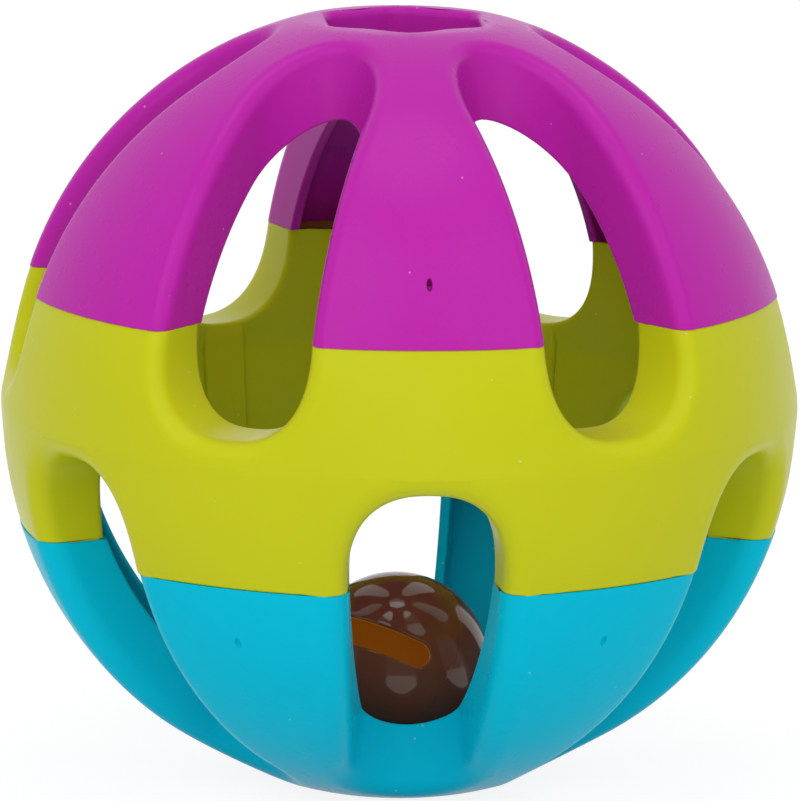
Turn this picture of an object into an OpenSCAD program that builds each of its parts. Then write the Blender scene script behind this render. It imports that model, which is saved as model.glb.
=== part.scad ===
// Cat toy ball: a slotted ball of three pinned shells with a loose jingle bell inside.
// Millimetres, +Z up through the two pole holes, origin at the centre of the ball.

/* [Ball] */
// Outside diameter of the ball
ball_d = 84; // [80:1:92]
// Height of the middle band, from seam to seam
band_h = 25.6; // [24:0.2:28]
// Diameter of the flat land round each pole hole
land_d = 21; // [20:0.25:23]

/* [Walls] */
// Wall thickness of the cap and cup between their rims
rib_wall = 2.2; // [1.6:0.1:3]
// Depth of the rims along the slots and pole holes, and thickness of the band
rim_depth = 7; // [5.5:0.25:7.5]
// Thickness of the rims
rim_t = 1.1; // [0.8:0.1:1.6]

/* [Slots] */
// Slots in the cap, and as many again in the cup
slot_n = 6; // [5:1:7]
// Width of a cap slot at the seam
cap_slot_w = 16.6; // [14:0.2:17.6]
// Angle between the centre line of a cap slot and each of its side walls
cap_slot_taper = 8.2; // [5:0.2:10]
// Distance from the ball's axis to the end of a cap slot
cap_slot_end = 14.5; // [13.5:0.1:17]
// Length of the rounded end of a cap slot
cap_slot_round = 8.2; // [5:0.2:10]
// Width of a cup slot at the seam
cup_slot_w = 15.2; // [13:0.2:16.4]
// Length of the straight stretch of a cup slot, from the seam inwards
cup_slot_straight = 6.4; // [4:0.2:9]
// Angle between the centre line of a cup slot and each of its side walls, past the straight stretch
cup_slot_taper = 11; // [7:0.2:13]
// Distance from the ball's axis to the end of a cup slot
cup_slot_end = 15.2; // [14:0.1:18]
// Length of the rounded end of a cup slot
cup_slot_round = 4.6; // [3:0.2:7]
// Height of the floor of a cap slot's notch above the middle of the ball
cap_notch_floor = 3; // [2.4:0.1:4.4]
// Depth of the top of a cup slot's notch below the middle of the ball
cup_notch_floor = 2.3; // [2:0.1:4.4]
// Radius at the bottom of a notch in the band
notch_r = 7; // [5:0.1:7.2]
// How far a notch's own sides stand outside the slot's walls at the seam
notch_ease = 0.35; // [0.2:0.05:0.6]

/* [Pole holes] */
// Width of a pole hole across its flats
hole_flats = 15.8; // [14:0.2:16.8]
// Depth of a pole hole, from its land to its inner edge
hole_depth = 5.545; // [4.5:0.005:6]

/* [Snap pins] */
// Diameter of the pins under the cap and on the cup
pin_d = 3; // [2.2:0.1:3.4]
// Length of the pins
pin_len = 5; // [3:0.25:6]
// Gap all round a pin in its socket
pin_gap = 0.05; // [0.02:0.01:0.1]
// Depth of a socket past the end of its pin
socket_spare = 0.5; // [0.2:0.1:1]
// Diameter of the boss that carries a pin
boss_d = 6; // [5.2:0.1:6.4]
// Height of the boss that carries a pin
boss_h = 6; // [4:0.5:6.5]
// Width of the pad inside the band at each socket
pad_w = 6.2; // [5.6:0.1:8]
// How far a pad stands in from the band's inner wall
pad_step = 0.6; // [0.3:0.1:1]
// How far a pad stops short of the seam
pad_drop = 0.5; // [0.3:0.1:1.5]
// How far a pad runs past the middle of the band
pad_overrun = 1.5; // [0.4:0.1:1.7]

/* [Bell] */
// Outside diameter of the bell
bell_d = 20; // [18.5:0.5:24]
// Sheet thickness of the bell
bell_t = 0.6; // [0.5:0.05:0.8]
// Width of the bell's slot
bell_slot_w = 2.9; // [2:0.1:3.6]
// Angle from the bell's pole to the centre of each round end of its slot
bell_slot_half_angle = 60; // [40:1:65]
// Height of the lap that joins the two halves of the bell
lap_h = 1; // [0.8:0.1:1.6]
// Gap in the lap
lap_gap = 0.02; // [0.01:0.01:0.05]
// Height of the bell above touching the pole hole's edge
rest_gap = 0.3; // [0.2:0.05:0.5]
// Diameter of the pellet inside the bell
pellet_d = 5; // [4:0.25:7]
// Gap between the pellet and the bell
pellet_gap = 0.1; // [0.05:0.05:0.2]

/* [Hidden] */

$fn = 96;
over = 1;
ball_r = ball_d / 2;
seam_z = band_h / 2;
land_z = sqrt(pow(ball_r, 2) - pow(land_d / 2, 2));
inner_r = ball_r - rim_depth;
pitch = 360 / slot_n;

// Radii of the band's two edges where it meets the cap and the cup
seam_outer_r = sqrt(pow(ball_r, 2) - pow(seam_z, 2));
seam_inner_r = sqrt(pow(inner_r, 2) - pow(seam_z, 2));
pin_ring_r = (seam_outer_r + seam_inner_r) / 2;

// A slot's round end is a little more pointed than an ellipse, whose bow is 2
end_bow = 1.8;
end_steps = 10;
notch_steps = 8;
// A notch's floor is never rounder than this share of the notch's half width
notch_share = 0.97;

// The bell sits in the lower pole hole on the middles of the hole's inner edges
hole_r = hole_flats / 2;
seat_z = land_z - hole_depth;
bell_r = bell_d / 2;
bell_in_r = bell_r - bell_t;
bell_z = sqrt(pow(bell_r, 2) - pow(hole_r, 2)) - seat_z + rest_gap;
lap_r = bell_r - bell_t / 2;
pellet_z = bell_z - (bell_in_r - pellet_d / 2 - pellet_gap);

// The way the bell happens to lie: turn about its own axis, lean, then turn about +Z
bell_turn = 85.3;
bell_lean = 122.9;
bell_heading = 33.4;

module round_copies() {
    for (i = [0 : slot_n - 1])
        rotate([0, 0, i * pitch])
            children();
}

// A slot's measures: end, length of its round end, width at the seam, straight stretch, taper, notch floor
cap_slot = [cap_slot_end, cap_slot_round, cap_slot_w, 0, cap_slot_taper, cap_notch_floor];
cup_slot = [cup_slot_end, cup_slot_round, cup_slot_w, cup_slot_straight, cup_slot_taper, cup_notch_floor];

// Distance from the ball's axis at which a slot's straight stretch starts
function straight_from(slot) = sqrt(pow(seam_outer_r, 2) - pow(slot[2] / 2, 2)) - slot[3];

// Half width of a slot between its side walls, at the distance u from the ball's axis
function half_width(slot, u) =
    slot[2] / 2 - (slot[3] > 0 ? max(0, straight_from(slot) - u) : straight_from(slot) - u) * tan(slot[4]);

// One side of a slot's plan, from the middle of its round end outwards
function slot_side(slot) = concat(
    [
        for (i = [0 : end_steps])
            let (
                a = 90 * i / end_steps,
                u = slot[0] + slot[1] * (1 - pow(cos(a), 2 / end_bow))
            )
            [u, half_width(slot, u) * pow(sin(a), 2 / end_bow)]
    ],
    slot[3] > 0 ? [[straight_from(slot), slot[2] / 2]] : [],
    [[ball_d, half_width(slot, ball_d)]]
);

// The same points moved out of the slot by grow
function moved_out(side, grow) = [
    for (i = [0 : len(side) - 1])
        let (
            before = i == 0 ? [side[1].x, -side[1].y] : side[i - 1],
            after = i == len(side) - 1 ? side[i] : side[i + 1],
            run = (after - before) / norm(after - before)
        )
        side[i] + grow * [-run.y, run.x]
];

// Plan of one slot along +X, moved out by grow
module slot_plan(slot, grow) {
    half = moved_out(slot_side(slot), grow);
    polygon(concat(half, [for (i = [len(half) - 1 : -1 : 1]) [half[i].x, -half[i].y]]));
}

// Pole hole with as many sides as there are slots, its corners towards the ribs
module pole_hole(grow) {
    rotate([0, 0, pitch / 2])
        cylinder(r = (hole_r + grow) / cos(180 / slot_n), h = ball_d, $fn = slot_n);
}

module slots_and_hole(slot, grow) {
    round_copies()
        linear_extrude(height = ball_d)
            slot_plan(slot, grow);
    pole_hole(grow);
}

// What is cut away below the inner edge of the pole hole, halfway out to the rims of the slots
module hole_seat(slot) {
    cylinder(r = ((hole_r + rim_t) / cos(180 / slot_n) + slot[0] - rim_t) / 2, h = seat_z);
}

// A ball's wall between two radii and two heights, open along the axis
module wall_between(r_in, r_out, z_low, z_high) {
    rotate_extrude()
        intersection() {
            difference() {
                circle(r = r_out);
                circle(r = r_in);
            }
            translate([hole_r / 2, z_low])
                square([ball_d, z_high - z_low]);
        }
}

// One moulded dome, pole up: ribs hollowed out between rims, with a pin under the middle of each rib
module dome(slot) {
    difference() {
        wall_between(inner_r, ball_r, seam_z, land_z);
        slots_and_hole(slot, 0);
        difference() {
            wall_between(inner_r - over, ball_r - rib_wall, seam_z - over, land_z);
            slots_and_hole(slot, rim_t);
            pin_bosses();
        }
        hole_seat(slot);
    }
    rotate([0, 0, pitch / 2])
        round_copies()
            translate([pin_ring_r, 0, seam_z - pin_len])
                cylinder(d = pin_d, h = pin_len + boss_h / 2);
}

module pin_bosses() {
    rotate([0, 0, pitch / 2])
        round_copies()
            translate([pin_ring_r, 0, seam_z - over])
                cylinder(d = boss_d, h = boss_h + over);
}

// Outline of one notch, seen along the slot: leaning sides that touch a round floor
module notch_outline(slot) {
    half_w = half_width(slot, ball_r) + notch_ease;
    r = min(notch_r, notch_share * half_w);
    rise = seam_z - slot[5] - r;
    touch = atan2(rise, half_w) - acos(r / norm([half_w, rise]));
    swing = 90 + touch;
    floor_arc = [
        for (i = [0 : notch_steps - 1])
            r * [cos(touch - swing * i / notch_steps), sin(touch - swing * i / notch_steps)]
    ];
    half = concat([[half_w, rise + over], [half_w, rise]], floor_arc);
    translate([0, slot[5] + r])
        polygon(concat(
            half,
            [[0, -r]],
            [for (i = [len(half) - 1 : -1 : 0]) [-half[i].x, half[i].y]]
        ));
}

// The notches of the band's upper edge, flush with the walls of the slots above them
module notches(slot) {
    round_copies()
        intersection() {
            linear_extrude(height = ball_d)
                slot_plan(slot, 0);
            rotate([90, 0, 90])
                linear_extrude(height = ball_d)
                    notch_outline(slot);
        }
}

// Pads inside the upper half of the band, one under each rib
module pads() {
    rotate([0, 0, pitch / 2])
        round_copies()
            intersection() {
                rotate([0, 0, 180])
                    wall_between(inner_r - pad_step, ball_r - rim_depth / 2, -pad_overrun, seam_z - pad_drop);
                translate([0, -pad_w / 2, -ball_d])
                    cube([ball_d, pad_w, 2 * ball_d]);
            }
}

module sockets() {
    depth = pin_len + socket_spare;
    rotate([0, 0, pitch / 2])
        round_copies()
            translate([pin_ring_r, 0, seam_z - depth])
                cylinder(d = pin_d + 2 * pin_gap, h = depth + over);
}

// Turns what is made for the upper half of the ball into its lower half, half a pitch round
module below() {
    mirror([0, 0, 1])
        rotate([0, 0, pitch / 2])
            children();
}

module top_cap() {
    color("#c02cac")
        dome(cap_slot);
}

module bottom_cup() {
    color("#1fb3d0")
        below()
            dome(cup_slot);
}

module middle_band() {
    color("#c3c92a")
        difference() {
            union() {
                rotate([0, 0, pitch / 4])
                    wall_between(inner_r, ball_r, -seam_z, seam_z);
                pads();
                below()
                    pads();
            }
            notches(cap_slot);
            sockets();
            below() {
                notches(cup_slot);
                sockets();
            }
        }
}

// Puts a piece of the bell, made upright about its own centre, where the bell lies
module in_bell_place() {
    translate([0, 0, bell_z])
        rotate([0, 0, bell_heading])
            rotate([0, bell_lean, 0])
                rotate([0, 0, bell_turn])
                    children();
}

module bell_shell() {
    difference() {
        sphere(r = bell_r);
        sphere(r = bell_in_r);
    }
}

// The slot runs across the lower pole and has a round end on each side
module bell_slot() {
    reach = bell_d * [sin(bell_slot_half_angle), -cos(bell_slot_half_angle)];
    rotate([90, 0, 0])
        linear_extrude(height = bell_slot_w, center = true)
            polygon([[0, 0], reach, [0, -2 * bell_d], [-reach.x, reach.y]]);
    for (s = [-1, 1])
        rotate([0, s * bell_slot_half_angle, 0])
            translate([0, 0, -bell_d])
                cylinder(d = bell_slot_w, h = bell_d);
}

module bell_upper_half() {
    color("#5a3d33")
        in_bell_place()
            difference() {
                bell_shell();
                translate([0, 0, -lap_h - bell_d])
                    cylinder(r = bell_d, h = bell_d);
                translate([0, 0, -lap_h - over])
                    cylinder(r = lap_r + lap_gap, h = lap_h + over);
            }
}

module bell_lower_half() {
    color("#5a3d33")
        in_bell_place()
            difference() {
                bell_shell();
                cylinder(r = bell_d, h = bell_d);
                translate([0, 0, -lap_h])
                    difference() {
                        cylinder(r = bell_d, h = lap_h + over);
                        translate([0, 0, -over])
                            cylinder(r = lap_r, h = lap_h + 3 * over);
                    }
                bell_slot();
            }
}

module bell_pellet() {
    color("silver")
        translate([0, 0, pellet_z])
            sphere(d = pellet_d);
}

top_cap();
middle_band();
bottom_cup();
bell_upper_half();
bell_lower_half();
bell_pellet();
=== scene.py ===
import bisect
import math
import bpy
from mathutils import Matrix, Vector


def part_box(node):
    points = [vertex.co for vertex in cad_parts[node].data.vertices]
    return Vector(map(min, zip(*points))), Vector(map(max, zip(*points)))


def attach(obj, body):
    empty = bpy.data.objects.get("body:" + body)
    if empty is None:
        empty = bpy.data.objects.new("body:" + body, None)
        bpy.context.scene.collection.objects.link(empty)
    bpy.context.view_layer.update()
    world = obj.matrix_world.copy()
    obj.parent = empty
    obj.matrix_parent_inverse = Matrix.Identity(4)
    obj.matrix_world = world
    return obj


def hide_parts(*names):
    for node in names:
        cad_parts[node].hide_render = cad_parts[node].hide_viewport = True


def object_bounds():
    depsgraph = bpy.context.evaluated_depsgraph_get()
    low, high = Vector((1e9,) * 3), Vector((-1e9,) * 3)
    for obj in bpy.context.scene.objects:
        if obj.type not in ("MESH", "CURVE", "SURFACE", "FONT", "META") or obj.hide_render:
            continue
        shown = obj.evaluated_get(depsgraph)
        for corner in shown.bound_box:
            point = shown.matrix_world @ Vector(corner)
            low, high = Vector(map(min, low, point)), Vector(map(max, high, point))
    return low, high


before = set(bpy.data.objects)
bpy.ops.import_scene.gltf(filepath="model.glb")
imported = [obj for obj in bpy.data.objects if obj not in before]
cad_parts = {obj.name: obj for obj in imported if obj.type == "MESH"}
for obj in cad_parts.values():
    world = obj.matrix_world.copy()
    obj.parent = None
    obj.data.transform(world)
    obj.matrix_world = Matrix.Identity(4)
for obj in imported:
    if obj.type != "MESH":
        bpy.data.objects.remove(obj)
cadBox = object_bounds()  # the CAD box

mm = 0.001
ball = {
    "radius": 42 * mm,
    "innerRadius": 35 * mm,  # inside of the rims
    "ribInnerRadius": 39.8 * mm,  # inside of a rib between its rims
    "rim": 1.1 * mm,  # thickness of the rims
    "landReach": 10.5 * mm,  # radius of the flat land round each pole hole
    "landSoft": 0.12 * mm,  # how softly the land runs into the ball
    "holeHalf": 7.9 * mm,  # pole hole, from the axis to a flat
    "seatZ": 35.12 * mm,  # inner end of the pole hole's side
    "slots": 6,
    "seamZ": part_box("middle_band")[1].z,
    "spare": 1.2 * mm,  # drawn past the seam, then cut off square
    "roundSegments": 6,  # of the roundings along the slots and notches
}
halfPitch = math.pi / ball["slots"]
mergeGap = 0.002 * mm  # points nearer than this become one
levelGap = 0.001 * mm  # a point this near to a level or a mirror plane lies on it


def lerp(a, b, t):
    return a + (b - a) * t


def onBall(r, tilt, turn):
    reach = r * math.sin(tilt)
    return Vector((reach * math.cos(turn), reach * math.sin(turn), r * math.cos(tilt)))


def tiltOf(r, reach):
    return math.asin(min(1.0, reach / r))


def softLow(a, b, soft):
    return min(a, b) - soft * math.log(1 + math.exp(-abs(a - b) / soft))


def pickOnly(obj):
    bpy.ops.object.select_all(action="DESELECT")
    obj.select_set(True)
    bpy.context.view_layer.objects.active = obj


def inEdit(obj):
    pickOnly(obj)
    bpy.ops.object.mode_set(mode="EDIT")
    bpy.ops.mesh.select_all(action="SELECT")


def outOfEdit():
    bpy.ops.object.mode_set(mode="OBJECT")


def applyModifier(obj, kind, settings):
    pickOnly(obj)
    modifier = obj.modifiers.new(kind.lower(), kind)
    for key, value in settings.items():
        setattr(modifier, key, value)
    bpy.ops.object.modifier_apply(modifier=modifier.name)


def joinInto(first, others):
    pickOnly(first)
    for other in others:
        other.select_set(True)
    bpy.ops.object.join()
    return first


# a flat grid is laid over rows of points; rounds gives a column's edges their rounding, from a row on
def layGrid(rows, rounds, widest):
    columns = len(rows[0])
    bpy.ops.object.select_all(action="DESELECT")
    bpy.ops.mesh.primitive_grid_add(x_subdivisions=columns - 1, y_subdivisions=len(rows) - 1, size=1)
    sheet = bpy.context.object
    order = sorted(sheet.data.vertices, key=lambda v: (round(v.co.y, 5), round(v.co.x, 5)))
    spot = {}
    for place, vertex in enumerate(order):
        spot[vertex.index] = divmod(place, columns)
        vertex.co = rows[place // columns][place % columns]
    weights = sheet.data.attributes.new("bevel_weight_edge", "FLOAT", "EDGE")
    for edge in sheet.data.edges:
        (rowA, a), (rowB, b) = (spot[v] for v in edge.vertices)
        width, firstRow = rounds.get(a, (0, 0))
        if a == b and min(rowA, rowB) >= firstRow:
            weights.data[edge.index].value = width / widest
    return sheet


# in edit mode: copies what is selected round the axis, once for each slot
def copyRound():
    steps = ball["slots"] - 1
    bpy.ops.mesh.spin(steps=steps, dupli=True, angle=2 * halfPitch * steps,
                      center=(0, 0, 0), axis=(0, 0, 1))
    bpy.ops.mesh.select_all(action="SELECT")


# joins the edges of laid sheets and turns all faces outwards
def closeSheet(obj):
    inEdit(obj)
    bpy.ops.mesh.remove_doubles(threshold=mergeGap)
    bpy.ops.mesh.normals_make_consistent(inside=False)
    outOfEdit()


# half a slot's worth of wall becomes the whole ring: mirrored, then copied round the axis
def ringOf(sheets, widest):
    ring = joinInto(sheets[0], sheets[1:])
    applyModifier(ring, "MIRROR", {"use_axis": (False, True, False), "merge_threshold": levelGap})
    inEdit(ring)
    copyRound()
    outOfEdit()
    closeSheet(ring)
    applyModifier(ring, "BEVEL", {
        "limit_method": "WEIGHT", "width": widest, "segments": ball["roundSegments"],
        "use_clamp_overlap": False})
    return ring


def cutLevel(obj, z, keepAbove):
    inEdit(obj)
    bpy.ops.mesh.bisect(plane_co=(0, 0, z), plane_no=(0, 0, 1), use_fill=True,
                        clear_inner=keepAbove, clear_outer=not keepAbove)
    outOfEdit()


# points that fell together are merged, so that no folded face is left
def mergeClose(obj):
    inEdit(obj)
    bpy.ops.mesh.select_mode(type="VERT")
    bpy.ops.mesh.select_all(action="SELECT")
    bpy.ops.mesh.remove_doubles(threshold=mergeGap)
    outOfEdit()


# a small rounding along the edges that lie at a seam
def roundSeam(obj, z, width):
    inEdit(obj)
    bpy.ops.mesh.select_mode(type="EDGE")
    bpy.ops.mesh.select_all(action="DESELECT")
    outOfEdit()
    height = [v.co.z for v in obj.data.vertices]
    for edge in obj.data.edges:
        edge.select = all(abs(height[v] - z) < levelGap for v in edge.vertices)
    bpy.ops.object.mode_set(mode="EDIT")
    bpy.ops.mesh.bevel(offset=width, segments=2, affect="EDGES", clamp_overlap=False)
    outOfEdit()
    mergeClose(obj)


# turns what is made for the upper half into the lower half, half a pitch round
def flipBelow(obj):
    obj.data.transform(Matrix.Rotation(halfPitch, 4, "Z") @ Matrix.Diagonal((1, 1, -1, 1)))
    inEdit(obj)
    bpy.ops.mesh.flip_normals()
    outOfEdit()


def finishPiece(obj, name, body, node, material, sharpAngle=38):
    obj.name = name
    obj.data.name = name
    pickOnly(obj)
    bpy.ops.object.shade_smooth_by_angle(angle=math.radians(sharpAngle))
    applyModifier(obj, "WEIGHTED_NORMAL", {"keep_sharp": True, "weight": 50})
    if not obj.data.materials:
        obj.data.materials.append(material)
    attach(obj, body)
    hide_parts(node)
    print("made", name, len(obj.data.polygons), "faces")


# colours are written as sRGB and used as linear
def fromHex(code):
    parts = [int(code[i:i + 2], 16) / 255 for i in (1, 3, 5)]
    return [c / 12.92 if c <= 0.04045 else ((c + 0.055) / 1.055) ** 2.4 for c in parts] + [1]


def addNode(tree, kind, inputs=None, **settings):
    node = tree.nodes.new(kind)
    for key, value in settings.items():
        setattr(node, key, value)
    for key, value in (inputs or {}).items():
        if isinstance(value, bpy.types.NodeSocket):
            tree.links.new(value, node.inputs[key])
        else:
            node.inputs[key].default_value = value
    return node


def newMaterial(name):
    material = bpy.data.materials.new(name)
    material.use_nodes = True
    material.node_tree.nodes.clear()
    return material


# shared by the three shells: sizes of the marks, and how far each changes the plain surface
plasticFinish = {"flowSize": 18 * mm, "rubSize": 9 * mm, "rubRange": (0.3, 0.7), "rubGloss": (-0.05, 0.06),
                 "grainSize": 0.5 * mm,  # really finer, drawn as coarse as it needs to show
                 "grain": 0.08, "grainHeight": 0.02 * mm, "ior": 1.49,
                 "speckGap": 3 * mm, "speckEdge": (0.025, 0.045), "speckShow": 0.3, "speckColour": "#f2eef0"}
capLook = {"colour": "#bb24a7", "shade": "#b420a1", "roughness": 0.28, "shine": 0.11}
bandLook = {"colour": "#c6c914", "shade": "#bfc210", "roughness": 0.32, "shine": 0.14}
cupLook = {"colour": "#08c1de", "shade": "#05bbd9", "roughness": 0.28, "shine": 0.025}


# injection-moulded polypropylene: evenly coloured, satin gloss, faint flow marks, a few specks and rubs
def mouldedPlastic(name, look):
    finish = plasticFinish
    material = newMaterial(name)
    tree = material.node_tree
    place = addNode(tree, "ShaderNodeTexCoord").outputs["Object"]
    flow = addNode(tree, "ShaderNodeTexNoise", {
        "Vector": place, "Scale": 1 / finish["flowSize"], "Detail": 3.0, "Roughness": 0.5})
    tint = addNode(tree, "ShaderNodeMix", {
        "Factor": flow.outputs["Fac"], "A": fromHex(look["shade"]), "B": fromHex(look["colour"])},
        data_type="RGBA")
    specks = addNode(tree, "ShaderNodeTexVoronoi", {"Vector": place, "Scale": 1 / finish["speckGap"]})
    dust = addNode(tree, "ShaderNodeMapRange", {
        "Value": specks.outputs["Distance"], "From Min": finish["speckEdge"][0],
        "From Max": finish["speckEdge"][1], "To Min": finish["speckShow"], "To Max": 0.0})
    dusted = addNode(tree, "ShaderNodeMix", {
        "Factor": dust.outputs["Result"], "A": tint.outputs["Result"], "B": fromHex(finish["speckColour"])},
        data_type="RGBA")
    rub = addNode(tree, "ShaderNodeTexNoise", {
        "Vector": place, "Scale": 1 / finish["rubSize"], "Detail": 5.0, "Roughness": 0.65})
    gloss = addNode(tree, "ShaderNodeMapRange", {
        "Value": rub.outputs["Fac"], "From Min": finish["rubRange"][0], "From Max": finish["rubRange"][1],
        "To Min": look["roughness"] + finish["rubGloss"][0],
        "To Max": look["roughness"] + finish["rubGloss"][1]})
    grain = addNode(tree, "ShaderNodeTexNoise", {
        "Vector": place, "Scale": 1 / finish["grainSize"], "Detail": 2.0, "Roughness": 0.5})
    bump = addNode(tree, "ShaderNodeBump", {
        "Height": grain.outputs["Fac"], "Strength": finish["grain"], "Distance": finish["grainHeight"]})
    shader = addNode(tree, "ShaderNodeBsdfPrincipled", {
        "Base Color": dusted.outputs["Result"], "Roughness": gloss.outputs["Result"], "IOR": finish["ior"],
        "Specular IOR Level": look["shine"], "Normal": bump.outputs["Normal"]})
    addNode(tree, "ShaderNodeOutputMaterial", {"Surface": shader.outputs["BSDF"]})
    return material


capPlastic = mouldedPlastic("mouldedPolypropyleneMagenta", capLook)
bandPlastic = mouldedPlastic("mouldedPolypropyleneLime", bandLook)
cupPlastic = mouldedPlastic("mouldedPolypropyleneTurquoise", cupLook)


# the bell is pressed brass under a thick dark bronze lacquer: brown body, glassy skin;
# bare amber brass inside it, with a painted glow standing in for the light inside the bell, and the tumbled
# steel pellet is a pale, softly bright grey
bellLook = {"colour": "#74432e", "shade": "#653828", "roughness": 0.07, "markSize": 3 * mm, "metal": 0.0,
            "shine": 0.45, "paintedGlow": 0.0}
insideLook = {"colour": "#d9962a", "shade": "#c6841e", "roughness": 0.4, "markSize": 3 * mm, "metal": 0.0,
              "shine": 0.5, "paintedGlow": 0.18}
pelletLook = {"colour": "#b9bcc0", "shade": "#a9acb0", "roughness": 0.25, "markSize": 1 * mm, "metal": 1.0,
              "shine": 0.5, "paintedGlow": 0.0}
metalFinish = {"markRange": (0.3, 0.7), "markGloss": (-0.02, 0.03), "paintedGlowColour": "#8c5a0c"}


def bellMetal(name, look):
    finish = metalFinish
    material = newMaterial(name)
    tree = material.node_tree
    place = addNode(tree, "ShaderNodeTexCoord").outputs["Object"]
    cloud = addNode(tree, "ShaderNodeTexNoise", {
        "Vector": place, "Scale": 1 / look["markSize"], "Detail": 4.0})
    tint = addNode(tree, "ShaderNodeMix", {
        "Factor": cloud.outputs["Fac"], "A": fromHex(look["shade"]), "B": fromHex(look["colour"])},
        data_type="RGBA")
    gloss = addNode(tree, "ShaderNodeMapRange", {
        "Value": cloud.outputs["Fac"], "From Min": finish["markRange"][0], "From Max": finish["markRange"][1],
        "To Min": look["roughness"] + finish["markGloss"][0],
        "To Max": look["roughness"] + finish["markGloss"][1]})
    # the emission is a painted glow: light inside the bell painted in as the surface's own glow
    shader = addNode(tree, "ShaderNodeBsdfPrincipled", {
        "Base Color": tint.outputs["Result"], "Roughness": gloss.outputs["Result"], "Metallic": look["metal"],
        "Specular IOR Level": look["shine"], "Emission Color": fromHex(finish["paintedGlowColour"]),
        "Emission Strength": look["paintedGlow"]})
    addNode(tree, "ShaderNodeOutputMaterial", {"Surface": shader.outputs["BSDF"]})
    return material


bellBronze = bellMetal("bronzeLacqueredBrass", bellLook)
bellBrass = bellMetal("bareBrassInside", insideLook)
pelletSteel = bellMetal("tumbledSteel", pelletLook)
print("materials ready")


# cap and cup: a slot narrows inwards to a round end; its mouth is on the ball, its throat at the rims' edge
capShell = {"mouth": {"width": 16.6 * mm, "straight": 0, "taper": math.radians(6.6), "end": 13.8 * mm,
                      "endLength": 8.2 * mm, "endBow": 2.05},
            "throat": {"width": 16.6 * mm, "straight": 0, "taper": math.radians(8.2), "end": 14.5 * mm,
                       "endLength": 8.2 * mm, "endBow": 1.8},
            "seamFillet": 1.6 * mm, "endFillet": 1.8 * mm, "holeRound": 0.9 * mm, "rimRound": 0.3 * mm,
            "cornerFill": 0.4 * mm, "seamEdge": 0.08 * mm, "wallRows": 26, "endRows": 18,
            "gates": {"turns": (-90,), "z": 19.1 * mm, "half": (0.32 * mm, 0.72 * mm), "deep": 1.6 * mm}}
cupShell = {"mouth": {"width": 16.2 * mm, "straight": 0, "taper": math.radians(6.8), "end": 15.2 * mm,
                      "endLength": 4.6 * mm, "endBow": 2.2},
            "throat": {"width": 15.2 * mm, "straight": 6.4 * mm, "taper": math.radians(11), "end": 15.2 * mm,
                       "endLength": 4.6 * mm, "endBow": 1.8},
            "seamFillet": 2.5 * mm, "endFillet": 2.5 * mm, "holeRound": 0.9 * mm, "rimRound": 0.3 * mm,
            "cornerFill": 0.4 * mm, "seamEdge": 0.14 * mm, "wallRows": 26, "endRows": 18,
            "gates": {"turns": (-150, -90), "z": 18.9 * mm, "half": (0.36 * mm, 0.65 * mm), "deep": 0.4 * mm}}
planSet = {"kinkSoft": 1.2 * mm, "pieces": 90, "beyond": 2 * mm, "feeler": 0.1 * mm, "nearest": 0.2 * mm,
           "holeCorner": 2.4 * mm, "cornerShare": 0.4}
# how a dome's rows are spaced: shares run from one edge of a wall to the next
domeGrid = {"skinSteps": 10, "filletSteps": 8, "wallShares": (0.2, 0.45, 0.7, 0.93, 1), "filletPace": 1.3,
            "rimShares": (0.12, 0.5, 0.86), "backSteps": 6, "backEdge": 0.6 * mm, "backEdgeMost": 0.8,
            "holeShares": (0.3, 0.65, 0.92), "holeRimShares": (0.15, 0.8)}
pinSet = {"ring": 36.289 * mm, "radius": 1.5 * mm, "length": 5 * mm, "root": 2 * mm, "tipRound": 0.4 * mm,
          "bossRadius": 3 * mm, "bossHeight": 6 * mm, "bossLayers": 5, "skin": 0.9 * mm,
          "bossSides": 28, "pinSides": 24}


# half a slot's plan, from outside the ball to the middle of its end: the length so far at each point,
# the points, and the length at which the round end starts
def slotPlan(shape):
    half, startU = shape["width"] / 2, shape["end"] + shape["endLength"]
    seamReach = math.sqrt(ball["radius"] ** 2 - ball["seamZ"] ** 2)
    kink = math.sqrt(seamReach ** 2 - half ** 2) - shape["straight"]

    def side(u):
        back = kink - u
        if shape["straight"]:
            back = (back + math.hypot(back, planSet["kinkSoft"])) / 2
        return half - back * math.tan(shape["taper"])

    farU, count, bow = ball["radius"] + planSet["beyond"], planSet["pieces"], 2 / shape["endBow"]
    points = [Vector((u, side(u))) for u in (lerp(farU, startU, k / count) for k in range(count + 1))]
    knee = len(points) - 1
    for k in range(1, count + 1):
        a = math.pi / 2 * (1 - k / count)
        u = startU - shape["endLength"] * max(0, math.cos(a)) ** bow
        points.append(Vector((u, side(u) * max(0, math.sin(a)) ** bow)))
    run = [0]
    for a, b in zip(points, points[1:]):
        run.append(run[-1] + (b - a).length)
    return run, points, run[knee]


def planPoint(run, points, s):
    if s > run[-1]:  # past the middle of the end, on the mirrored half
        mirrored = planPoint(run, points, 2 * run[-1] - s)
        return Vector((mirrored.x, -mirrored.y))
    at = min(max(1, bisect.bisect_left(run, s)), len(run) - 1)
    return points[at - 1].lerp(points[at], (s - run[at - 1]) / (run[at] - run[at - 1]))


# a point of the plan moved by offset into the rib, and the way into the rib
def planWall(run, points, s, offset):
    feeler = planSet["feeler"]
    ahead = planPoint(run, points, s + feeler) - planPoint(run, points, s - feeler)
    into = Vector((ahead.y, -ahead.x)).normalized()
    return planPoint(run, points, s) + into * offset, into


# where along the plan the moved wall is reach away from the ball's axis
def runAtReach(run, points, offset, reach):
    low, high = planSet["nearest"], run[-1]
    for _ in range(50):  # halved until it is exact
        middle = (low + high) / 2
        if planWall(run, points, middle, offset)[0].length > reach:
            low = middle
        else:
            high = middle
    return low


def upTo(r, flat):
    return Vector((flat.x, flat.y, math.sqrt(r ** 2 - flat.length_squared)))


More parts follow.
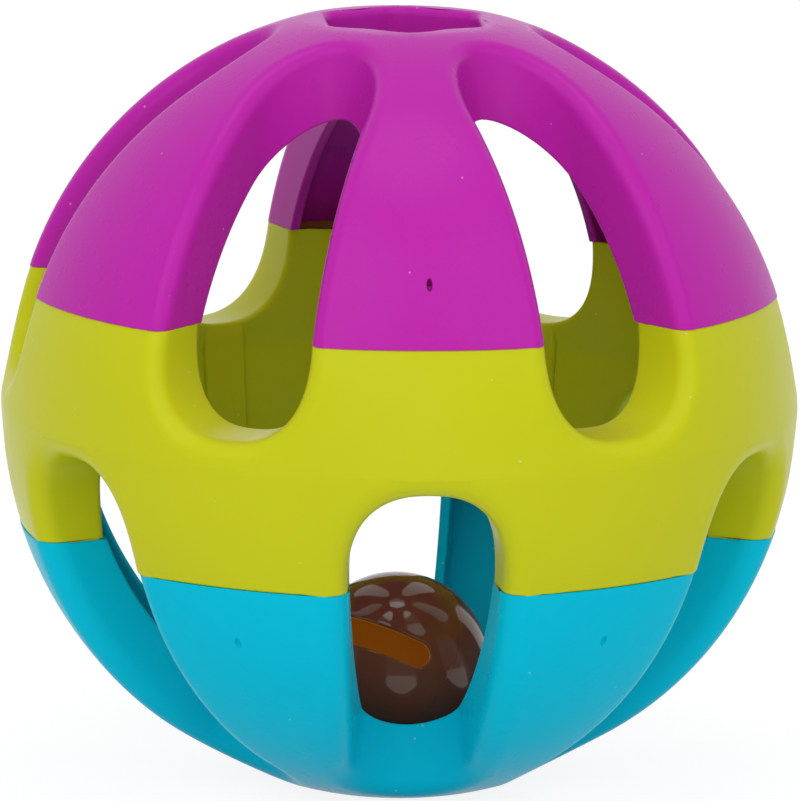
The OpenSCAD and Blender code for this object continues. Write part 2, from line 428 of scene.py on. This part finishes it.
def landed(point):
    landZ = math.sqrt(ball["radius"] ** 2 - ball["landReach"] ** 2)
    return Vector((point.x, point.y, softLow(point.z, landZ, ball["landSoft"])))


# points over a ball from a to b, which are each a tilt and a turn
def overBall(r, a, b, shares):
    return [onBall(r, lerp(a[0], b[0], t), lerp(a[1], b[1], t)) for t in shares]


def tiltTurn(point):
    return math.atan2(math.hypot(point.x, point.y), point.z), math.atan2(point.y, point.x)


# the six-sided hole with round corners: left goes from 1 at a corner to 0 at the middle of a side
def holePlan(grow, left):
    corner = planSet["holeCorner"] + grow
    middle = (ball["holeHalf"] + grow - corner) / math.cos(halfPitch)
    swing = halfPitch * max(0, 1 - (1 - left) / planSet["cornerShare"])
    flat = min(1, left / (1 - planSet["cornerShare"]))
    if swing > 0:
        return (middle * Vector((math.cos(halfPitch), math.sin(halfPitch)))
                + corner * Vector((math.cos(swing), math.sin(swing))))
    return Vector((ball["holeHalf"] + grow, middle * math.sin(halfPitch) * flat))


# one row of a dome: over the rib, round the edge, down the slot's wall, round its rim and back behind the rib
def domeRow(shell, mouth, throat, share, left):
    r, inner, back, rim = ball["radius"], ball["innerRadius"], ball["ribInnerRadius"], ball["rim"]
    startZ = ball["seamZ"] - ball["spare"]
    fillet = lerp(shell["seamFillet"], shell["endFillet"], min(1, share * domeGrid["filletPace"]))

    def runNow(way, offset, reach):
        run, points, knee = way
        if left < 1:
            return lerp(run[-1], knee, left)
        return lerp(runAtReach(run, points, offset, reach), knee, share)

    edgeR = r - shell["seamFillet"]
    edgeRun = runNow(mouth, shell["seamFillet"], math.sqrt(edgeR ** 2 - startZ ** 2))
    lipRun = runNow(throat, 0, math.sqrt(inner ** 2 - startZ ** 2))
    rootRun = runNow(throat, rim, math.sqrt(back ** 2 - startZ ** 2))
    centrePlan, into = planWall(*mouth[:2], edgeRun, fillet)
    centre = upTo(r - fillet, centrePlan)
    fromSkin, fromWall = centre.normalized(), Vector((-into.x, -into.y, 0))

    def farSide(ballR, grow):
        flat = holePlan(grow, left)
        if left < 1:
            return tiltOf(ballR, flat.length), math.atan2(flat.y, flat.x)
        return lerp(math.acos(startZ / ballR), tiltOf(ballR, flat.length), share), halfPitch

    ridge, hollow = farSide(r, 0), farSide(back, rim)
    skin, bend = domeGrid["skinSteps"], domeGrid["filletSteps"]
    row = [landed(q) for q in overBall(r, ridge, tiltTurn(centre), [k / skin for k in range(skin)])]
    row += [landed(centre + fillet * fromSkin.slerp(fromWall, k / bend)) for k in range(bend + 1)]
    lip = upTo(inner, planPoint(*throat[:2], lipRun))
    row += [row[-1].lerp(lip, t) for t in domeGrid["wallShares"]]
    columns = {"lip": len(row) - 1}
    foot = upTo(inner, planWall(*throat[:2], lipRun, rim)[0])
    root = upTo(back, planWall(*throat[:2], rootRun, rim)[0])
    row.append(foot)
    for t in domeGrid["rimShares"]:
        flat = planWall(*throat[:2], lerp(lipRun, rootRun, t), rim)[0]
        row.append(Vector((flat.x, flat.y, lerp(foot.z, root.z, t))))
    row.append(root)
    columns["root"] = len(row) - 1
    span, steps = (onBall(back, *hollow) - root).length, domeGrid["backSteps"]
    near = 1 - min(domeGrid["backEdgeMost"], domeGrid["backEdge"] / span)
    row += overBall(back, hollow, tiltTurn(root), [near * k / steps for k in range(steps + 1)])[::-1]
    return row, columns


# the small pit that a gate of the mould leaves in the middle of a rib
def pressGate(dome, turn, gate):
    bpy.ops.object.select_all(action="DESELECT")
    bpy.ops.mesh.primitive_uv_sphere_add(segments=20, ring_count=12, radius=1)
    pit = bpy.context.object
    tilt = math.acos(gate["z"] / ball["radius"])
    wide, long = gate["half"]
    pit.data.transform(Matrix.Rotation(turn, 4, "Z") @ Matrix.Rotation(tilt, 4, "Y")
                       @ Matrix.Translation((0, 0, ball["radius"]))
                       @ Matrix.Diagonal((long, wide, gate["deep"], 1)))
    applyModifier(dome, "BOOLEAN", {"operation": "DIFFERENCE", "object": pit, "solver": "EXACT"})
    bpy.data.objects.remove(pit)
    mergeClose(dome)


def buildDome(shell):
    mouth, throat = slotPlan(shell["mouth"]), slotPlan(shell["throat"])
    rows, holeRows = [], []
    wallRows, endRows = shell["wallRows"], shell["endRows"]
    for k in range(wallRows + endRows + 1):
        share, left = min(1, k / wallRows), min(1, 1 - (k - wallRows) / endRows)
        row, columns = domeRow(shell, mouth, throat, share, left)
        rows.append(row)
        if k >= wallRows:  # the side of the pole hole, and its rim
            top, flat = row[0], row[-1]
            low, rimLow = (Vector((p.x, p.y, ball["seatZ"])) for p in (top, flat))
            holeRow = [top] + [top.lerp(low, t) for t in domeGrid["holeShares"]] + [low, rimLow]
            holeLip = len(holeRow) - 2
            holeRows.append(holeRow + [rimLow.lerp(flat, t) for t in domeGrid["holeRimShares"]] + [flat])
    hole, rim, corner = shell["holeRound"], shell["rimRound"], shell["cornerFill"]
    slotSheet = layGrid(rows, {
        0: (hole, wallRows), columns["lip"]: (rim, 0), columns["lip"] + 1: (rim, 0),
        columns["root"]: (corner, 0), len(rows[0]) - 1: (corner, wallRows)}, hole)
    holeSheet = layGrid(holeRows, {
        0: (hole, 0), holeLip: (rim, 0), holeLip + 1: (rim, 0), len(holeRows[0]) - 1: (corner, 0)}, hole)
    dome = ringOf([slotSheet, holeSheet], hole)
    cutLevel(dome, ball["seamZ"], True)
    roundSeam(dome, ball["seamZ"], shell["seamEdge"])
    for turn in shell["gates"]["turns"]:
        pressGate(dome, math.radians(turn), shell["gates"])
    return dome


# a boss with its pin under the middle of each rib, trimmed to stay inside the wall
def buildPins():
    bpy.ops.object.select_all(action="DESELECT")
    bpy.ops.mesh.primitive_circle_add(vertices=pinSet["bossSides"], radius=pinSet["bossRadius"],
                                      fill_type="NGON", location=(pinSet["ring"], 0, ball["seamZ"]))
    boss = bpy.context.object
    pickOnly(boss)
    bpy.ops.object.transform_apply(location=True)
    inEdit(boss)
    layer = pinSet["bossHeight"] / pinSet["bossLayers"]
    for _ in range(pinSet["bossLayers"]):
        bpy.ops.mesh.extrude_region_move(TRANSFORM_OT_translate={"value": (0, 0, layer)})
    outOfEdit()
    limit = ball["radius"] - pinSet["skin"]
    for vertex in boss.data.vertices:
        flat = math.hypot(vertex.co.x, vertex.co.y)
        room = math.sqrt(limit ** 2 - vertex.co.z ** 2)
        if flat > room:
            vertex.co.x *= room / flat
            vertex.co.y *= room / flat
    middleZ = ball["seamZ"] + (pinSet["root"] - pinSet["length"]) / 2
    bpy.ops.mesh.primitive_cylinder_add(vertices=pinSet["pinSides"], radius=pinSet["radius"],
                                        depth=pinSet["length"] + pinSet["root"],
                                        location=(pinSet["ring"], 0, middleZ))
    pin = bpy.context.object
    pickOnly(pin)
    bpy.ops.object.transform_apply(location=True)
    applyModifier(pin, "BEVEL", {"width": pinSet["tipRound"], "segments": 2, "limit_method": "ANGLE"})
    pins = joinInto(boss, [pin])
    pins.data.transform(Matrix.Rotation(halfPitch, 4, "Z"))
    inEdit(pins)
    copyRound()
    bpy.ops.mesh.normals_make_consistent(inside=False)
    outOfEdit()
    return pins


topCap = joinInto(buildDome(capShell), [buildPins()])
finishPiece(topCap, "topCap", "shell", "top_cap", capPlastic)
bottomCup = joinInto(buildDome(cupShell), [buildPins()])
flipBelow(bottomCup)
finishPiece(bottomCup, "bottomCup", "shell", "bottom_cup", cupPlastic)


# middle band: half a notch's wall, from the notch's edge to the middle of the ball
upperNotch = {
    "round": 2.0 * mm,
    "outer": {"halfAngle": math.radians(12), "startZ": 12.8 * mm, "depth": 10.3 * mm, "power": 2.5},
    "inner": {"halfAngle": math.radians(12.9), "startZ": 12.8 * mm, "depth": 9.9 * mm, "power": 2.5}}
lowerNotch = {
    "round": 2.3 * mm,
    "outer": {"halfAngle": math.radians(11.8), "startZ": 12.6 * mm, "depth": 10.5 * mm, "power": 2.4},
    "inner": {"halfAngle": math.radians(12.95), "startZ": 12.6 * mm, "depth": 10.3 * mm, "power": 2.8}}
band = {"middleReach": 34.1 * mm, "seamReach": 32.9 * mm,  # inside of the band, with its draft
        "rimRound": 0.6 * mm, "upperEdge": 0.08 * mm, "lowerEdge": 0.22 * mm,
        "stations": 36, "ribStations": 14, "finePieces": 240, "skinSteps": 8, "insideSteps": 6,
        "wallShares": (0.42, 0.7, 0.92), "skinEdge": 0.5 * mm, "insideEdge": 0.7 * mm, "edgeMost": 0.85,
        "partingRise": 0.12 * mm, "partingSpread": 3 * mm, "middleGap": 0.004 * mm}
pads = {"half": 2.7 * mm, "step": 0.6 * mm, "overrun": 2.6 * mm, "fade": 3.0 * mm, "drop": 0.5 * mm,
        "round": 0.45 * mm, "sunk": 0.05 * mm, "backDepth": 1 * mm, "rows": 24, "third": 0.34}


# half outline of a notch as (turn, height), evenly spaced, from above the seam to the middle of its floor
def notchOutline(notch):
    topZ = ball["seamZ"] + ball["spare"]
    fine = [(notch["halfAngle"], topZ)] if notch["startZ"] < topZ else []
    bow = 2 / notch["power"]
    for k in range(band["finePieces"] + 1):
        a = math.pi / 2 * k / band["finePieces"]
        z = notch["startZ"] - notch["depth"] * math.sin(a) ** bow
        if z < topZ:
            fine.append((notch["halfAngle"] * max(0, math.cos(a)) ** bow, z))
    fine[0] = (fine[0][0], topZ)
    fine[-1] = (0, fine[-1][1])
    run = [0]
    for a, b in zip(fine, fine[1:]):
        run.append(run[-1] + math.hypot((b[0] - a[0]) * ball["radius"], b[1] - a[1]))
    evenly = []
    for k in range(band["stations"] + 1):
        goal = run[-1] * k / band["stations"]
        at = min(max(i for i, length in enumerate(run) if length <= goal), len(run) - 2)
        t = (goal - run[at]) / (run[at + 1] - run[at])
        evenly.append((lerp(fine[at][0], fine[at + 1][0], t), lerp(fine[at][1], fine[at + 1][1], t)))
    return evenly


def atHeight(r, turn, z):
    reach = math.sqrt(r ** 2 - z ** 2)
    return Vector((reach * math.cos(turn), reach * math.sin(turn), z))


# on the inside of the band, stand away from its wall
def insideBand(turn, z, stand=0):
    reach = lerp(band["middleReach"], band["seamReach"], abs(z) / ball["seamZ"]) + stand
    return Vector((reach * math.cos(turn), reach * math.sin(turn), z))


def buildBandHalf(notch):
    topZ = ball["seamZ"] + ball["spare"]
    rows = []
    for k, (rimmed, mouth) in enumerate(zip(notchOutline(notch["inner"]), notchOutline(notch["outer"]))):
        ribs, around = band["ribStations"], band["stations"] - band["ribStations"]
        if k <= ribs:
            far = (halfPitch, topZ * (1 - k / ribs))
        else:
            far = (halfPitch * (1 - (k - ribs) / around), 0)

        def skin(r, edge, support, steps):
            span = (atHeight(r, *edge) - atHeight(r, *far)).length
            reached = 1 - min(band["edgeMost"], support / span)
            shares = [reached * j / steps for j in range(steps + 1)]
            return [(lerp(far[0], edge[0], t), lerp(far[1], edge[1], t)) for t in shares]

        row = []
        for a, h in skin(ball["radius"], mouth, notch["round"] + band["skinEdge"], band["skinSteps"]):
            rise = band["partingRise"] * max(0, 1 - h / band["partingSpread"])
            row.append(atHeight(ball["radius"] + rise - band["partingRise"], a, h))
        outer = atHeight(ball["radius"], *mouth)
        inner = insideBand(*rimmed)
        row.append(outer)
        edgeColumn = len(row) - 1
        row += [outer.lerp(inner, t) for t in band["wallShares"]] + [inner]
        lipColumn = len(row) - 1
        inside = skin(ball["innerRadius"], rimmed, band["insideEdge"], band["insideSteps"])
        row += [insideBand(a, h) for a, h in inside[::-1]]
        rows.append(row)
    widest = notch["round"]
    sheet = layGrid(rows, {edgeColumn: (widest, 0), lipColumn: (band["rimRound"], 0)}, widest)
    return ringOf([sheet], widest)


# a thin pad inside the band at each pin socket
def buildPads():
    rows = []
    low, high = -pads["overrun"], ball["seamZ"] - pads["drop"]
    back, third, wide = pads["backDepth"], pads["third"], pads["half"] / ball["innerRadius"]
    for k in range(pads["rows"] + 1):
        z = lerp(low, high, k / pads["rows"])
        step = pads["sunk"] - pads["step"] * min(1, (z - low) / pads["fade"]) ** 0.5
        ring = [(back, -1), (step, -1), (step, -third), (step, third), (step, 1), (back, 1), (back, -1)]
        rows.append([insideBand(side * wide, z, stand) for stand, side in ring])
    pad = layGrid(rows, {1: (pads["round"], 0), 4: (pads["round"], 0)}, pads["round"])  # its two long edges
    applyModifier(pad, "BEVEL", {"limit_method": "WEIGHT", "width": pads["round"], "segments": 3})
    mergeClose(pad)
    pad.data.transform(Matrix.Rotation(halfPitch, 4, "Z"))
    inEdit(pad)
    bpy.ops.mesh.fill_holes(sides=0)
    bpy.ops.mesh.select_all(action="SELECT")
    bpy.ops.mesh.normals_make_consistent(inside=False)
    copyRound()
    outOfEdit()
    return pad


def buildBand():
    upper = buildBandHalf(upperNotch)
    lower = buildBandHalf(lowerNotch)
    flipBelow(lower)
    whole = joinInto(upper, [lower])
    inEdit(whole)
    bpy.ops.mesh.remove_doubles(threshold=band["middleGap"])
    outOfEdit()
    cutLevel(whole, ball["seamZ"], False)
    cutLevel(whole, -ball["seamZ"], True)
    roundSeam(whole, ball["seamZ"], band["upperEdge"])
    roundSeam(whole, -ball["seamZ"], band["lowerEdge"])
    upperPads = buildPads()
    lowerPads = buildPads()
    flipBelow(lowerPads)
    return joinInto(whole, [upperPads, lowerPads])


middleBand = buildBand()
finishPiece(middleBand, "middleBand", "shell", "middle_band", bandPlastic)


# the jingle bell: two pressed halves, made upright about the bell's centre and then laid in the pole hole
bell = {"radius": 10 * mm, "innerRadius": 9.4 * mm, "lapRadius": 9.7 * mm, "lapHeight": 1 * mm,
        "slotHalf": 1.45 * mm, "slotReach": math.radians(60), "lipRound": 0.2 * mm, "innerLipRound": 0.1 * mm,
        "lapGap": 0.01 * mm, "lapFit": 0.02 * mm, "lapRound": 0.03 * mm, "paintDepth": 0.35 * mm,
        "sideSteps": 14, "endSteps": 8, "skinSteps": 9,  # spacing of the slotted half
        "lipEdge": 0.6 * mm, "lipEdgeMost": 0.5,
        "outerSteps": 26, "innerSteps": 24, "roundSteps": 72,  # spacing of the plain half
        "centreZ": -28.6914 * mm, "turn": 85.3, "lean": 122.9, "heading": 33.4}
bellPlace = (Matrix.Translation((0, 0, bell["centreZ"]))
             @ Matrix.Rotation(math.radians(bell["heading"]), 4, "Z")
             @ Matrix.Rotation(math.radians(bell["lean"]), 4, "Y")
             @ Matrix.Rotation(math.radians(bell["turn"]), 4, "Z"))


def buildSlottedHalf():
    wide = math.asin(bell["slotHalf"] / bell["radius"])
    edge = []
    sideSteps, endSteps, skinSteps = bell["sideSteps"], bell["endSteps"], bell["skinSteps"]
    for k in range(sideSteps):  # the long side of the slot
        a = bell["slotReach"] * k / sideSteps
        edge.append(Vector((math.sin(a) * math.cos(wide), math.sin(wide), -math.cos(a) * math.cos(wide))))
    tip = Vector((math.sin(bell["slotReach"]), 0, -math.cos(bell["slotReach"])))
    along = Vector((math.cos(bell["slotReach"]), 0, math.sin(bell["slotReach"])))
    for k in range(endSteps + 1):  # its round end
        a = math.pi / 2 * k / endSteps
        edge.append(tip * math.cos(wide)
                    + math.sin(wide) * (Vector((0, 1, 0)) * math.cos(a) + along * math.sin(a)))
    lapZ = -bell["lapHeight"] - bell["lapGap"]
    rows = []
    for k, direction in enumerate(edge):
        turn = math.pi / 2 * (1 - k / (len(edge) - 1))
        brim = atHeight(bell["radius"], turn, lapZ)
        flat = Vector((math.cos(turn), math.sin(turn), 0))
        lap = [flat * bell["innerRadius"], flat * bell["lapRadius"],
               flat * bell["lapRadius"] + Vector((0, 0, lapZ)), brim]
        near = min(bell["lipEdgeMost"], bell["lipEdge"] / (brim - direction * bell["radius"]).length)
        shares = [(1 - near) * j / skinSteps for j in range(1, skinSteps + 1)]
        outer = [brim.normalized().slerp(direction, t) * bell["radius"] for t in shares]
        inner = [flat.slerp(direction, t) * bell["innerRadius"] for t in shares][::-1]
        middle = (bell["radius"] + bell["innerRadius"]) / 2
        wall = [direction * r for r in (bell["radius"], middle, bell["innerRadius"])]
        rows.append(lap + outer + wall + inner + [lap[0]])
    brimColumn = len(lap) - 1
    edgeColumn = len(lap) + skinSteps
    half = layGrid(rows, {
        edgeColumn: (bell["lipRound"], 0), edgeColumn + 2: (bell["innerLipRound"], 0),
        brimColumn: (bell["lapRound"], 0)}, bell["lipRound"])
    applyModifier(half, "MIRROR", {"use_axis": (True, True, False), "merge_threshold": levelGap})
    closeSheet(half)
    applyModifier(half, "BEVEL", {
        "limit_method": "WEIGHT", "width": bell["lipRound"], "segments": 4, "use_clamp_overlap": False})
    return half


def buildPlainHalf():
    lapZ = -bell["lapHeight"]
    lapR, startTilt = bell["lapRadius"] + bell["lapFit"], math.acos(lapZ / bell["radius"])
    outer, inner, steps = bell["outerSteps"], bell["innerSteps"], bell["roundSteps"]
    profile = [Vector((lapR, 0, 0)), Vector((lapR, 0, lapZ))]
    brimColumn = len(profile)
    profile += [onBall(bell["radius"], startTilt * (1 - k / outer), 0) for k in range(outer + 1)]
    profile += [onBall(bell["innerRadius"], math.pi / 2 * k / inner, 0) for k in range(inner + 1)]
    rows = [[Matrix.Rotation(2 * math.pi * k / steps, 3, "Z") @ p for p in profile + [profile[0]]]
            for k in range(steps + 1)]
    half = layGrid(rows, {brimColumn: (bell["lapRound"], 0)}, bell["lapRound"])
    closeSheet(half)
    applyModifier(half, "BEVEL", {"limit_method": "WEIGHT", "width": bell["lapRound"], "segments": 2})
    return half


# bare brass, which carries the painted glow, shows on the inside of the bell and in its slot
def paintInside(half):
    half.data.materials.append(bellBronze)
    half.data.materials.append(bellBrass)
    limit = bell["radius"] - bell["paintDepth"]
    for face in half.data.polygons:
        face.material_index = 1 if face.center.length < limit else 0


for build, name, node in ((buildSlottedHalf, "bellSlottedHalf", "bell_lower_half"),
                          (buildPlainHalf, "bellPlainHalf", "bell_upper_half")):
    half = build()
    paintInside(half)
    half.data.transform(bellPlace)
    finishPiece(half, name, "bell", node, bellBronze, 45)


# the loose pellet: a tumbled steel ball with a small flat where it was sheared
pelletSet = {"radius": 2.5 * mm, "centreZ": sum(c.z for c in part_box("bell_pellet")) / 2,
             "flatAt": 2.42 * mm, "flatFacing": (0.2, 0, 1)}
bpy.ops.object.select_all(action="DESELECT")
bpy.ops.mesh.primitive_ico_sphere_add(subdivisions=4, radius=pelletSet["radius"], location=(0, 0, 0))
pellet = bpy.context.object
inEdit(pellet)
bpy.ops.mesh.bisect(plane_co=(0, 0, pelletSet["flatAt"]), plane_no=pelletSet["flatFacing"],
                    use_fill=True, clear_outer=True)
outOfEdit()
pellet.data.transform(Matrix.Translation((0, 0, pelletSet["centreZ"])))
finishPiece(pellet, "bellPellet", "pellet", "bell_pellet", pelletSteel, 25)


# a pale floor under the ball, plain white to the camera, with a soft shadow kept in it
floorSet = {"size": 12, "z": cadBox[0].z, "shadowShare": 0.2, "grey": 0.85, "glow": 1.1}
bpy.ops.object.select_all(action="DESELECT")
bpy.ops.mesh.primitive_plane_add(size=floorSet["size"], location=(0, 0, 0))
floor = bpy.context.object
floor.name = "floor"
floor.data.transform(Matrix.Translation((0, 0, floorSet["z"])))
paper = newMaterial("whitePaperSweep")
tree = paper.node_tree
ray = addNode(tree, "ShaderNodeLightPath")
seen = addNode(tree, "ShaderNodeMath", {
    0: ray.outputs["Is Camera Ray"], 1: ray.outputs["Is Glossy Ray"]}, operation="MAXIMUM")
seen = addNode(tree, "ShaderNodeMath", {
    0: seen.outputs[0], 1: ray.outputs["Is Transmission Ray"]}, operation="MAXIMUM")
share = addNode(tree, "ShaderNodeMath", {
    0: seen.outputs[0], 1: 1 - floorSet["shadowShare"]}, operation="MULTIPLY")
matt = addNode(tree, "ShaderNodeBsdfDiffuse", {"Color": [floorSet["grey"]] * 3 + [1]})
glow = addNode(tree, "ShaderNodeEmission", {"Color": (1, 1, 1, 1), "Strength": floorSet["glow"]})
mixed = addNode(tree, "ShaderNodeMixShader", {0: share.outputs[0], 1: matt.outputs[0], 2: glow.outputs[0]})
addNode(tree, "ShaderNodeOutputMaterial", {"Surface": mixed.outputs[0]})
floor.data.materials.append(paper)


# soft studio light: a white backdrop behind the ball, a dimmer room before it, and round diffusers
# a lamp: name, azimuth, elevation, distance, size, power, and whether it is mirrored in the surfaces
studio = {"world": 0.6, "roomShine": 0.25, "shineFade": (-0.25, 0.3), "lamps": (
    ("leftDiffuser", -32, 40, 0.9, 0.7, 1.8, True), ("rightDiffuser", 32, 40, 0.9, 0.7, 1.1, True),
    ("topDiffuser", 0, 84, 1.0, 0.5, 1.3, True), ("lowFill", -4, 9, 0.9, 0.5, 0.9, False))}
world = bpy.data.worlds.new("whiteSurroundings")
bpy.context.scene.world = world
world.use_nodes = True
tree = world.node_tree
tree.nodes.clear()
ray = addNode(tree, "ShaderNodeLightPath")
straight = addNode(tree, "ShaderNodeMath", {
    0: ray.outputs["Is Camera Ray"], 1: ray.outputs["Is Transmission Ray"]}, operation="MAXIMUM")
seen = addNode(tree, "ShaderNodeMath", {
    0: straight.outputs[0], 1: ray.outputs["Is Glossy Ray"]}, operation="MAXIMUM")
skyPlace = addNode(tree, "ShaderNodeTexCoord").outputs["Generated"]
toward = addNode(tree, "ShaderNodeSeparateXYZ", {0: skyPlace})
shine = addNode(tree, "ShaderNodeMapRange", {
    "Value": toward.outputs["Y"], "From Min": studio["shineFade"][0], "From Max": studio["shineFade"][1],
    "To Min": studio["roomShine"], "To Max": 1.0})
white = addNode(tree, "ShaderNodeMath", {
    0: straight.outputs[0], 1: shine.outputs["Result"]}, operation="MAXIMUM")
dim = addNode(tree, "ShaderNodeBackground", {"Color": (1, 1, 1, 1), "Strength": studio["world"]})
bright = addNode(tree, "ShaderNodeBackground", {"Color": (1, 1, 1, 1), "Strength": white.outputs[0]})
mixed = addNode(tree, "ShaderNodeMixShader", {0: seen.outputs[0], 1: dim.outputs[0], 2: bright.outputs[0]})
addNode(tree, "ShaderNodeOutputWorld", {"Surface": mixed.outputs[0]})


def directionOf(azimuth, elevation):
    a, e = math.radians(azimuth), math.radians(elevation)
    return Vector((math.sin(a) * math.cos(e), -math.cos(a) * math.cos(e), math.sin(e)))


for name, azimuth, elevation, far, size, power, mirrored in studio["lamps"]:
    lamp = bpy.data.lights.new(name, "AREA")
    lamp.shape, lamp.size, lamp.energy = "DISK", size, power
    lampObject = bpy.data.objects.new(name, lamp)
    lampObject.visible_glossy = mirrored
    bpy.context.scene.collection.objects.link(lampObject)
    back = directionOf(azimuth, elevation)
    lampObject.location = back * far
    lampObject.rotation_euler = back.to_track_quat("Z", "Y").to_euler()


# the photograph's viewpoint, measured from the ball's outline and seams
view = {"azimuth": -4.46, "elevation": 10.96, "roll": 0.689, "far": 905.7 * mm, "lens": 385.6, "sensor": 36,
        "frame": (800, 801), "ballAt": (399.34, 400.18)}
cameraData = bpy.data.cameras.new("photoCamera")
cameraData.lens, cameraData.sensor_width = view["lens"], view["sensor"]
wide, tall = view["frame"]
cameraData.shift_x = (wide / 2 - view["ballAt"][0]) / max(wide, tall)
cameraData.shift_y = (view["ballAt"][1] - tall / 2) / max(wide, tall)
cameraData.clip_start, cameraData.clip_end = 0.01, 50
camera = bpy.data.objects.new("photoCamera", cameraData)
bpy.context.scene.collection.objects.link(camera)
back = directionOf(view["azimuth"], view["elevation"])
facing = back.to_track_quat("Z", "Y").to_matrix().to_4x4()
turned = facing @ Matrix.Rotation(math.radians(view["roll"]), 4, "Z")
camera.matrix_world = Matrix.Translation(back * view["far"]) @ turned
bpy.context.scene.camera = camera
bpy.context.scene.view_settings.view_transform = "Standard"
print("stage, lights and camera ready")
